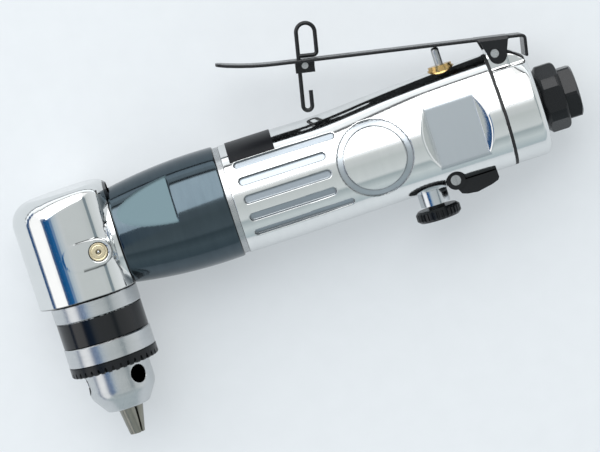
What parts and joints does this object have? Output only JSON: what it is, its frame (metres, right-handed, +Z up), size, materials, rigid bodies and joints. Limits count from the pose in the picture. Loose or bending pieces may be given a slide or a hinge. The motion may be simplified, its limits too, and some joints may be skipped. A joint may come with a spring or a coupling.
{
  "type": "right_angle_air_drill",
  "caption": "Right-angle air drill with a keyed chuck, polished aluminium barrel, throttle lever with lock wire, reversing lever and air regulator",
  "frame": {"origin": "under the middle of the whole tool, on the plane it rests on when it lies on its side", "axes": "+X from the chuck axis along the handle to the air inlet, +Y to the throttle lever side with the chuck pointing along -Y, +Z up from the surface it lies on"},
  "size_m": [0.2238, 0.1326, 0.0444],
  "materials": {
    "polished_aluminium": "polished cast and turned aluminium",
    "gunmetal": "dark oxide steel with a slight sheen",
    "black_steel": "black oxide steel",
    "chrome": "bright plated steel",
    "ground_steel": "ground steel",
    "gear_steel": "hardened gear steel",
    "brass": "turned brass",
    "fitting_tan": "dull yellow plated fitting",
    "black_rubber": "black seal rubber",
    "label_black": "matt black label film, left bare",
    "vane_resin": "cloth reinforced resin",
    "cast_iron": "machined iron"
  },
  "bodies": {
    "housing": {"angle_head": "polished_aluminium", "grease_fitting": "fitting_tan", "gear_case": "gunmetal", "case_seal_ring": "black_steel", "barrel": "polished_aluminium", "name_label": "label_black", "cap_gasket": "black_rubber", "rear_cap": "polished_aluminium", "exhaust_deflector": "black_steel", "inlet_bushing": "black_steel", "inlet_screen": "ground_steel", "lever_pin": "ground_steel", "valve_bushing": "brass", "valve_spring": "ground_steel", "regulator_bush": "chrome", "motor_cylinder": "cast_iron", "front_end_plate": "cast_iron", "rear_end_plate": "cast_iron", "front_rotor_bearing": "ground_steel", "rear_rotor_bearing": "ground_steel", "ring_gear": "gear_steel", "carrier_bearing": "ground_steel", "pinion_bearing": "ground_steel", "upper_spindle_bearing": "ground_steel", "lower_spindle_bearing": "ground_steel", "bearing_retainer": "gear_steel"},
    "lever": {"throttle_lever": "black_steel", "lock_bracket": "black_steel", "lock_pivot_pin": "ground_steel"},
    "lock": {"lock_wire": "black_steel"},
    "valve": {"valve_stem": "ground_steel", "valve_seal": "black_rubber"},
    "reverse": {"reverse_lever": "black_steel", "reverse_valve": "ground_steel"},
    "regulator": {"regulator_knob": "black_steel", "regulator_stem": "black_steel"},
    "spindle": {"spindle": "gear_steel", "bevel_gear": "gear_steel", "chuck_body": "chrome", "chuck_band": "label_black", "chuck_screw": "ground_steel"},
    "sleeve": {"chuck_sleeve": "chrome", "chuck_gear_ring": "black_steel", "chuck_nut": "gear_steel"},
    "jaw_a": {"jaw_1": "ground_steel"},
    "jaw_b": {"jaw_2": "ground_steel"},
    "jaw_c": {"jaw_3": "ground_steel"},
    "carrier": {"planet_carrier": "gear_steel", "planet_pins": "ground_steel", "bevel_pinion": "gear_steel"},
    "planet_a": {"planet_gear_1": "gear_steel"},
    "planet_b": {"planet_gear_2": "gear_steel"},
    "planet_c": {"planet_gear_3": "gear_steel"},
    "rotor": {"rotor": "gear_steel", "rotor_vanes": "vane_resin"}
  },
  "joints": [
    {"name": "lever_squeeze", "type": "hinge", "parent": "housing", "child": "lever", "pos_m": [0.08528, 0.03239, 0.0222], "axis": [0, 0, 1], "range_deg": [0, 8.5], "stiffness_Nm_per_rad": 0.6, "springref_deg": -8.59},
    {"name": "lock_swing", "type": "hinge", "parent": "lever", "child": "lock", "pos_m": [0.01468, 0.04989, 0.0222], "axis": [0, 0, 1], "range_deg": [-76.5, 0]},
    {"name": "valve_push", "type": "slide", "parent": "housing", "child": "valve", "axis": [0, -1, 0], "range_m": [0, 0.0033], "deforming": ["valve_spring"]},
    {"name": "reverse_turn", "type": "hinge", "parent": "housing", "child": "reverse", "pos_m": [0.05647, -0.00961, 0.0222], "axis": [0, 0, -1], "range_deg": [0, 35]},
    {"name": "regulator_turn", "type": "hinge", "parent": "housing", "child": "regulator", "pos_m": [0.04677, 0.00889, 0.0222], "axis": [0, -1, 0], "range_deg": [0, 270]},
    {"name": "spindle_spin", "type": "hinge", "parent": "housing", "child": "spindle", "pos_m": [-0.09062, 0.00889, 0.0222], "axis": [0, 1, 0], "continuous": true},
    {"name": "carrier_spin", "type": "hinge", "parent": "housing", "child": "carrier", "pos_m": [-0.09062, 0.00889, 0.0222], "axis": [1, 0, 0], "continuous": true},
    {"name": "rotor_spin", "type": "hinge", "parent": "housing", "child": "rotor", "pos_m": [-0.09062, 0.00889, 0.0222], "axis": [1, 0, 0], "continuous": true},
    {"name": "sleeve_turn", "type": "hinge", "parent": "spindle", "child": "sleeve", "pos_m": [-0.09062, 0.00889, 0.0222], "axis": [0, 1, 0], "range_deg": [0, 4811]},
    {"name": "planet_a_spin", "type": "hinge", "parent": "carrier", "child": "planet_a", "pos_m": [-0.09062, 0.00889, 0.0117], "axis": [1, 0, 0], "continuous": true},
    {"name": "planet_b_spin", "type": "hinge", "parent": "carrier", "child": "planet_b", "pos_m": [-0.09062, 0.01798, 0.02745], "axis": [1, 0, 0], "continuous": true},
    {"name": "planet_c_spin", "type": "hinge", "parent": "carrier", "child": "planet_c", "pos_m": [-0.09062, -0.0002, 0.02745], "axis": [1, 0, 0], "continuous": true},
    {"name": "jaw_a_slide", "type": "slide", "parent": "spindle", "child": "jaw_a", "axis": [-0.0837, 0.9724, 0.2179], "range_m": [0, 0.01698]},
    {"name": "jaw_b_slide", "type": "slide", "parent": "spindle", "child": "jaw_b", "axis": [0.2306, 0.9724, -0.0365], "range_m": [0, 0.01698]},
    {"name": "jaw_c_slide", "type": "slide", "parent": "spindle", "child": "jaw_c", "axis": [-0.1469, 0.9724, -0.1814], "range_m": [0, 0.01698]}
  ],
  "couplings": [
    {"joint": "lock_swing", "follows": "lever_squeeze", "ratio": -9},
    {"joint": "valve_push", "follows": "lever_squeeze", "m_per_rad": 0.0216},
    {"joint": "carrier_spin", "follows": "spindle_spin", "ratio": 1.75},
    {"joint": "rotor_spin", "follows": "spindle_spin", "ratio": 8.75},
    {"joint": "planet_a_spin", "follows": "spindle_spin", "ratio": -4.6667},
    {"joint": "planet_b_spin", "follows": "spindle_spin", "ratio": -4.6667},
    {"joint": "planet_c_spin", "follows": "spindle_spin", "ratio": -4.6667},
    {"joint": "jaw_a_slide", "follows": "sleeve_turn", "m_per_rad": 0.00020213},
    {"joint": "jaw_b_slide", "follows": "sleeve_turn", "m_per_rad": 0.00020213},
    {"joint": "jaw_c_slide", "follows": "sleeve_turn", "m_per_rad": 0.00020213}
  ]
}
